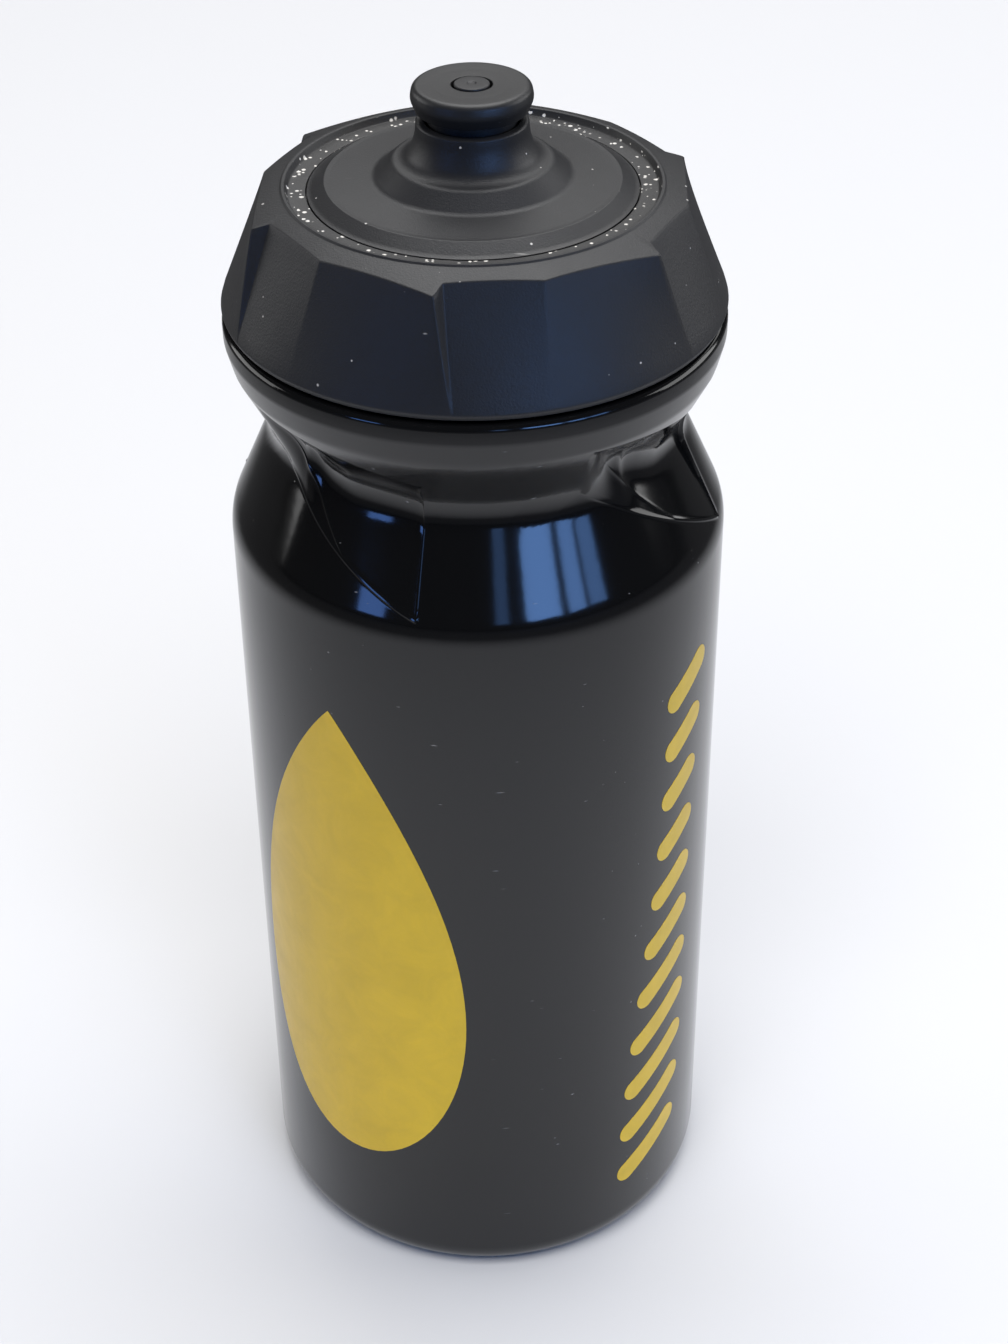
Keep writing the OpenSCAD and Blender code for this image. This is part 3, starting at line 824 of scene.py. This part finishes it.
class BOTTLE_OT_print(bpy.types.Operator):
    """Print the drop and the column of slanted dashes on the body"""
    bl_idname = "bottle.print"
    bl_label = "Print"

    def execute(self, context):
        sizes = context.scene.print_sizes
        radius = context.scene.bottle_sizes.body_radius / MM
        ink = sizes.ink
        strip = 0.0015
        drop = drop_shape(sizes.drop_width, sizes.drop_bottom, sizes.drop_top)
        slice_upright(drop, sizes.drop_width / 2, strip)
        wrap(drop, math.degrees(sizes.drop_direction), radius, ink)
        make_piece("print_drop", drop, "bottle", "ink_finish", sharp=30)
        dashes = bmesh.new()
        lowest, climb, drift = 0.018, 0.094, 0.006
        for index in range(sizes.dash_count):
            place = index / (sizes.dash_count - 1)
            height = lowest + place * climb
            long = sizes.dash_length * (0.62 + 0.38 * math.cos((place - 0.12) * 2.4) ** 2)
            made = bmesh.ops.create_circle(dashes, cap_ends=True, segments=32, radius=sizes.dash_width / 2)
            ring = made["verts"]
            for vert in ring:
                vert.co.x += math.copysign((long - sizes.dash_width) / 2, vert.co.x)
            turn_about_axis(dashes, ring, sizes.dash_lean)
            bmesh.ops.translate(dashes, verts=ring, vec=(drift * (place - 0.5), height, 0))
        slice_upright(dashes, sizes.dash_length * 0.75, strip)
        wrap(dashes, math.degrees(sizes.dash_direction), radius, ink)
        make_piece("print_dashes", dashes, "bottle", "ink_finish", sharp=30)
        return {"FINISHED"}


# ------------------------------------------------------------------ cap
FOOT_TURN = 2.3
BEND_TURN = 27.5


def chord_radius(first, last, turn):
    """Radius at a turn on the straight line between two (turn, radius) points."""
    apart = math.sin(math.radians(last[0] - first[0]))
    before = first[1] * math.sin(math.radians(turn - first[0]))
    after = last[1] * math.sin(math.radians(last[0] - turn))
    return first[1] * last[1] * apart / (before + after)


def top_edge(c, turn):
    """Radius of the cap's top edge at a turn after a tooth's tip."""
    bend = (BEND_TURN, c.foot_radius + 0.45)
    if turn < FOOT_TURN:
        return c.tip_radius + (c.foot_radius - c.tip_radius) * ease(turn / FOOT_TURN)
    if turn < BEND_TURN:
        return chord_radius((FOOT_TURN, c.foot_radius), bend, turn)
    return chord_radius(bend, (360 / c.teeth, c.tip_radius), turn)


def cap_outline(c, sp):
    """A function that gives the cap's outline at a turn, and the last row of its skirt."""
    bore = c.thread_bore
    channel = bore - 0.7
    dust_floor = c.land_height - c.dust_groove
    seat = dust_floor - 0.9
    plate = seat - PLATE_THICKNESS
    ceiling = gasket_high.z / MM + 0.05
    lip = 24.7
    disc = sp.disc_radius
    recess = disc + 0.2
    seal, hole = disc - 4, disc - PLATE_HOLE_INSET
    pitch = 360 / c.teeth
    lower_edge_rows, skirt_rows = 13, 15
    inner = rounded([(recess, seat), (seal + 0.7, seat), (seal + 0.7, seat - 1.25),
                     (seal - 0.7, seat - 1.25), (seal - 0.7, seat), (hole, seat, 0.2), (hole, plate, 0.2),
                     (lip - 1.1, plate, 0.3), (lip - 1.1, ceiling - 3.2, 0.2),
                     (lip - 0.3, ceiling - 3.2, 0.2), (lip, ceiling - 2.8), (lip, ceiling, 0.2),
                     (channel, ceiling, 0.2), (channel, ceiling - 1.6, 0.2), (bore, ceiling - 2.6, 0.2),
                     (bore, c.bottom + 0.6, 0.2), (bore + 0.6, c.bottom, 0.2), (bore + 1.6, c.bottom, 0.2),
                     (bore + 1.6, c.bottom + 7.0, 0.4), (c.radius - 1.9, c.bottom + 0.6),
                     (c.radius - 1.9, c.bottom, 0.2), (c.radius - 1.0, c.bottom)], closed=False, steps=4)

    def outline(turn):
        edge = top_edge(c, (turn - c.first_tooth) % pitch)
        land, bead_top = c.land_radius, c.land_height + BEAD_HEIGHT
        edge_height = c.land_height - 0.31 * (edge - land)
        skirt = between((c.radius, c.bottom + 1.1), (edge, edge_height), skirt_rows)
        outer = rounded([(c.radius - 1.0, c.bottom), (c.radius - 0.45, c.bottom, 0.3),
                         (c.radius, c.bottom + 0.9, 0.6), (edge, edge_height, c.edge_round),
                         (land + 0.9, c.land_height - 0.28), (land + 0.42, c.land_height - 0.13, 0.2),
                         (land + 0.2, bead_top, 0.1), (land - 0.25, bead_top, 0.2),
                         (land - 0.6, dust_floor, 0.3), (disc + 0.9, dust_floor),
                         (recess, dust_floor, 0.1), (recess, seat)], closed=False, steps=5)
        return outer[:lower_edge_rows] + skirt + outer[lower_edge_rows:-1] + inner[:-1]
    return outline, lower_edge_rows + skirt_rows


def tooth_columns(c, steps):
    """Gathers the columns of a lathe at each tooth's step and at the bend in its long face."""
    pitch = 360 / c.teeth
    knots = ((0, 0), (0.18, FOOT_TURN * 1.1), (0.52, BEND_TURN - 0.8), (0.58, BEND_TURN + 0.8), (1, pitch))

    def turn(column):
        tooth, place = divmod(column * c.teeth / steps, 1)
        return c.first_tooth + tooth * pitch + follow(knots, place)
    return turn


class BOTTLE_OT_cap(bpy.types.Operator):
    """Build the toothed screw cap with its thread, and the gasket under it"""
    bl_idname = "bottle.cap"
    bl_label = "Cap"

    def execute(self, context):
        c = in_mm(context.scene.cap_sizes)
        sp = in_mm(context.scene.spout_sizes)
        b = in_mm(context.scene.bottle_sizes)
        outline, skirt_end = cap_outline(c, sp)
        pitch = 360 / c.teeth
        lean_knots = ((0, 4.5), (FOOT_TURN, 3), (BEND_TURN, -2), (pitch, 4.5))
        lean_top, lean_foot = c.land_height - 1.4, c.bottom + 1.1

        def lean(turn, row, point):
            if row > skirt_end:
                return 0.0
            down = min(1.0, max(0.0, (lean_top - point.y) / (lean_top - lean_foot)))
            return down * follow(lean_knots, (turn - c.first_tooth) % pitch)

        steps = 432
        shape = lathe(outline, steps, tooth_columns(c, steps), lean=lean)
        merge_into(shape, screw_ridge(c.thread_bore, c.thread_bore - b.thread_depth, c.bottom + 1.6,
                                      b.thread_lead, b.thread_turns, c.thread_start))
        ribs = 12
        add_blocks(shape, ribs, -math.pi / ribs, (3.0, 1.3, 5.2), c.thread_bore + 2.9, c.bottom + 3.6)
        make_piece("cap_grip", shape, "cap", "cap_finish", "cap_shell", sharp=50)
        section = ring_section(24.9, gasket_high.x / MM, gasket_low.z / MM, gasket_high.z / MM, 0.25, 4)
        make_piece("flat_gasket", spun(section, 160), "gasket", "seal_finish", "cap_gasket")
        return {"FINISHED"}


# ------------------------------------------------------------------ spout
class BOTTLE_OT_spout(bpy.types.Operator):
    """Build the spout's disc and collar, and the plug inside it"""
    bl_idname = "bottle.spout"
    bl_label = "Spout"

    def execute(self, context):
        sp = in_mm(context.scene.spout_sizes)
        seat = sp.disc_top - 2.4
        plate = seat - PLATE_THICKNESS
        disc, collar, top = sp.disc_radius, sp.collar_radius, sp.disc_top
        hole = disc - PLATE_HOLE_INSET
        upper = disc - sp.disc_slope
        ring = sp.bore_radius + 1.1
        ring_top = seat + 0.6
        outline = rounded([
            (ring + 0.1, plate, 0.2), (ring + 2, plate, 0.2), (ring + 2, seat + 1, 0.3),
            (hole - 1.7, seat + 1, 0.3), (hole - 1.7, plate - 1.6, 0.2), (hole + 0.35, plate - 1.1, 0.15),
            (hole + 0.35, plate - 0.1, 0.1), (hole - 0.2, plate - 0.1), (hole - 0.2, seat, 0.1),
            (disc, seat, 0.1), (disc, seat + 0.95), (disc - 0.5, seat + 1.1, 2.0),
            (upper, top, 0.25), (upper - 0.7, top - 0.02, 0.3),
            (collar + 6, top + 0.35, 1.6), (collar + 3.4, top + 2.8, 1.4), (collar + 1.5, top + 3.05, 2.5),
            (collar + 0.2, sp.collar_top - 2.55, 8),
            (collar, sp.collar_top, 0.35), (sp.sleeve_radius + 0.4, sp.collar_top, 0.15),
            (sp.sleeve_radius + 0.4, sp.collar_top - 1.2), (sp.bore_radius, sp.collar_top - 1.2),
            (sp.bore_radius, ring_top), (ring + 0.1, ring_top)], steps=10)
        make_piece("spout_collar", spun(outline, 192), "cap", "spout_finish", "spout_insert",
                   sharp=40)
        plug_bottom, plug_top = plug_low.z / MM, plug_high.z / MM
        seat_height = sp.head_top - 1.4
        pin = rounded([(0, plug_bottom), (2.6, plug_bottom, 0.3), (2.6, ring_top), (2.9, ring_top + 1),
                       (2.9, seat_height - 2.6), (3.6, seat_height - 1.8, 0.2), (3.6, seat_height - 1, 0.2),
                       (sp.tip_radius, seat_height - 0.3), (sp.tip_radius, plug_top, 0.2),
                       (0.7, plug_top, 0.2), (0.45, plug_top - 0.15, 0.1), (0, plug_top - 0.15)],
                      closed=False, steps=6)
        plug = lathe(lambda turn: pin, 96, closed=False)
        spoked_ring = spun(ring_section(ring - 1.6, ring, plug_bottom, plug_bottom + 2.35, 0.2, 3), 96)
        add_blocks(spoked_ring, 3, math.radians(90), (5.2, 1.6, 1.8), 4.6, plug_bottom + 0.9)
        merge_into(plug, spoked_ring)
        make_piece("plug_pin", plug, "cap", "spout_finish", "centre_plug", sharp=40)
        return {"FINISHED"}


# ------------------------------------------------------------------ mouthpiece
class BOTTLE_OT_mouthpiece(bpy.types.Operator):
    """Build the mouthpiece's sleeve and its soft head"""
    bl_idname = "bottle.mouthpiece"
    bl_label = "Mouthpiece"

    def execute(self, context):
        sp = in_mm(context.scene.spout_sizes)
        bottom, flange = core_low.z / MM, sp.head_bottom + 0.6
        floor = core_high.z / MM
        passage = 4.6
        groove_low, groove_high = bottom + 0.6, bottom + 2.0
        piston = sp.bore_radius - 0.1
        groove = sp.bore_radius - 1.4
        rim = sp.head_radius - 1.1
        core = rounded([(passage, bottom, 0.2), (piston, bottom, 0.2), (piston, groove_low),
                        (groove, groove_low), (groove, groove_high), (piston, groove_high),
                        (piston, bottom + 2.6, 0.2),
                        (sp.sleeve_radius, bottom + 2.6), (sp.sleeve_radius, flange), (rim, flange),
                        (rim, floor), (passage, floor)], steps=4)
        make_piece("slide_sleeve", spun(core, 128), "mouthpiece", "spout_finish",
                   "mouthpiece_core")
        top = sp.head_top
        cover = rounded([(sp.hole_radius, floor), (rim, floor), (rim, flange), (sp.sleeve_radius, flange),
                         (sp.sleeve_radius, sp.head_bottom), (sp.head_radius - 0.7, sp.head_bottom, 0.3),
                         (sp.head_radius, sp.head_bottom + 1.7, 1.8), (sp.head_radius - 0.35, top, 1.0),
                         (sp.head_radius - 3.2, top - 0.12, 4),
                         (sp.hole_radius, top - 0.12, 0.12)], steps=10)
        make_piece("soft_head", spun(cover, 160), "mouthpiece", "mouthpiece_finish",
                   "mouthpiece_cover")
        for name in ("insert_seal", "mouthpiece_seal"):
            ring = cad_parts[name]
            ring.data.materials.clear()
            ring.data.materials.append(bpy.data.materials["seal_finish"])
        return {"FINISHED"}


# ------------------------------------------------------------------ studio
def soft_light(name, place, target, size, power, tint=(1, 1, 1)):
    """A rectangular soft light at place that faces target and doesn't show itself."""
    light = bpy.data.lights.new(name, "AREA")
    light.shape = "RECTANGLE"
    light.size, light.size_y = size
    light.energy = power
    light.color = tint
    lamp = bpy.data.objects.new(name, light)
    bpy.context.scene.collection.objects.link(lamp)
    lamp.location = place
    lamp.rotation_euler = (Vector(target) - Vector(place)).to_track_quat("-Z", "Y").to_euler()
    lamp.visible_camera = False
    return lamp


def pale_floor():
    """A pale matt floor, which the bottle mirrors as a table top that soon ends."""
    material, tree, shader, place = start_material("pale_floor")
    shader.inputs["Base Color"].default_value = (0.54, 0.54, 0.55, 1)
    shader.inputs["Roughness"].default_value = 0.8
    shader.inputs["Specular IOR Level"].default_value = 0.2
    away = from_axis(tree, place)[0]
    far = shader_node(tree, "ShaderNodeMapRange", {"Value": away, "From Min": 0.1, "From Max": 0.5,
                      "To Max": 0.9}, interpolation_type="SMOOTHSTEP").outputs[0]
    direct = tree.nodes.new("ShaderNodeLightPath").outputs["Is Camera Ray"]
    unlit = shader_node(tree, "ShaderNodeBsdfDiffuse", {"Color": (0, 0, 0, 1)})
    mixed = shader_node(tree, "ShaderNodeMixShader",
                        {0: maths(tree, "MULTIPLY", far, maths(tree, "SUBTRACT", 1.0, direct)),
                         1: shader.outputs[0], 2: unlit.outputs[0]})
    tree.links.new(mixed.outputs[0], tree.nodes["Material Output"].inputs["Surface"])
    return material


def surroundings():
    """A world that looks pale and is mirrored as a dim room."""
    world = bpy.data.worlds.new("surroundings")
    world.use_nodes = True
    tree = world.node_tree
    direct = tree.nodes.new("ShaderNodeLightPath").outputs["Is Camera Ray"]
    strength = maths(tree, "ADD", 0.025, maths(tree, "MULTIPLY", direct, 0.8))
    tree.nodes["Background"].inputs[0].default_value = (0.9, 0.93, 1.0, 1)
    tree.links.new(strength, tree.nodes["Background"].inputs[1])
    return world


class BOTTLE_OT_studio(bpy.types.Operator):
    """Set the pale floor, the soft lights, the surroundings and the camera"""
    bl_idname = "bottle.studio"
    bl_label = "Studio"

    def execute(self, context):
        shape = bmesh.new()
        bmesh.ops.create_grid(shape, x_segments=1, y_segments=1, size=6)
        mesh = bpy.data.meshes.new("floor")
        shape.to_mesh(mesh)
        shape.free()
        floor = bpy.data.objects.new("floor", mesh)
        context.scene.collection.objects.link(floor)
        mesh.materials.append(pale_floor())
        middle = (0, 0, 0.1)
        soft_light("back_box", (0.25, 1.6, 1.5), middle, (2.4, 1.2), 12)
        soft_light("top_box", (0.1, 0.6, 2.0), middle, (1.8, 1.4), 36)
        fill = soft_light("front_fill", (0, -0.9, 1.8), middle, (1.6, 1.0), 42)
        fill.visible_glossy = False
        soft_light("side_box", (1.7, 0.5, 0.75), middle, (1.4, 1.0), 12)
        soft_light("far_side_box", (-1.7, 0.7, 0.55), middle, (1.2, 0.9), 7)
        for toward, wide, power in WINDOW_PANES:
            around = math.radians(toward)
            pane = (WINDOW_DISTANCE * math.cos(around), WINDOW_DISTANCE * math.sin(around), 0.6)
            soft_light("window_pane", pane, middle, (wide, 0.5), power, (0.2, 0.43, 1.0))
        soft_light("far_window", (-1.45, -1.33, 0.42), middle, (0.42, 0.36), 2.6, (0.16, 0.36, 1.0))
        context.scene.world = surroundings()
        context.scene.view_settings.view_transform = "Standard"
        camera = bpy.data.cameras.new("camera")
        camera.lens = 63.94
        camera.sensor_width = 36
        camera.clip_start = 0.01
        viewer = bpy.data.objects.new("camera", camera)
        context.scene.collection.objects.link(viewer)
        viewer.location = (0, -0.3071, 0.3209)
        heading, tilt, roll = math.radians(-0.69), math.radians(90 - 35.83), math.radians(-0.47)
        viewer.rotation_euler = (Matrix.Rotation(heading, 3, "Z") @ Matrix.Rotation(tilt, 3, "X")
                                 @ Matrix.Rotation(roll, 3, "Z")).to_euler()
        context.scene.camera = viewer
        return {"FINISHED"}


class BOTTLE_PT_panel(bpy.types.Panel):
    """The bottle's tools"""
    bl_label = "Squeeze Bottle"
    bl_idname = "BOTTLE_PT_panel"
    bl_space_type = "VIEW_3D"
    bl_region_type = "UI"
    bl_category = "Bottle"

    def draw(self, context):
        for tool in TOOLS:
            self.layout.operator(tool.bl_idname)


TOOLS = (BOTTLE_OT_finishes, BOTTLE_OT_body, BOTTLE_OT_print, BOTTLE_OT_cap, BOTTLE_OT_spout,
         BOTTLE_OT_mouthpiece, BOTTLE_OT_studio)
GROUPS = {"bottle_sizes": BottleSizes, "cap_sizes": CapSizes, "spout_sizes": SpoutSizes,
          "print_sizes": PrintSizes, "bottle_finishes": Finishes}


def register():
    for group in (*GROUPS.values(), *TOOLS, BOTTLE_PT_panel):
        bpy.utils.register_class(group)
    for name, group in GROUPS.items():
        setattr(bpy.types.Scene, name, PointerProperty(type=group))


def unregister():
    for name in GROUPS:
        delattr(bpy.types.Scene, name)
    for group in (BOTTLE_PT_panel, *reversed(TOOLS), *reversed(GROUPS.values())):
        bpy.utils.unregister_class(group)


def main():
    register()
    for tool in TOOLS:
        getattr(bpy.ops.bottle, tool.bl_idname.split(".")[1])()


if __name__ == "__main__":
    main()
